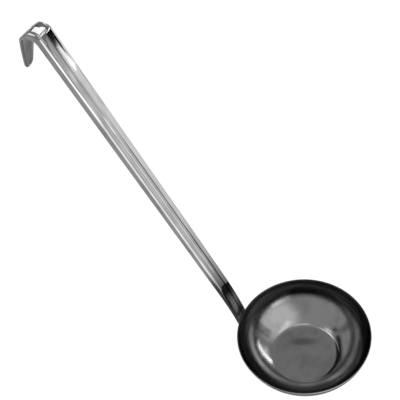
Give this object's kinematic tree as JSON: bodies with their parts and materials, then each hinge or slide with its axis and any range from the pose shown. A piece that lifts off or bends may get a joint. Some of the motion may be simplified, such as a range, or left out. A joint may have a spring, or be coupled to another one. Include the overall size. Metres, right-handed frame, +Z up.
{
  "type": "soup ladle",
  "caption": "Stainless soup ladle: a round pressed bowl with a flat underside, and a channel handle with a raised rib and a flat hook, spot welded to the bowl.",
  "frame": {"origin": "centre of the bowl's flat underside", "axes": "+Z up the bowl's axis; the handle rises from the rim and leans towards -X; the part is symmetric about the XZ plane"},
  "size_m": [0.2168, 0.0998, 0.2759],
  "materials": {
    "bowl_steel": "satin polished stainless steel",
    "handle_steel": "polished stainless steel",
    "weld_steel": "fused stainless steel"
  },
  "bodies": {
    "root": {"bowl": "bowl_steel", "handle": "handle_steel", "spot_welds": "weld_steel"}
  },
  "joints": []
}
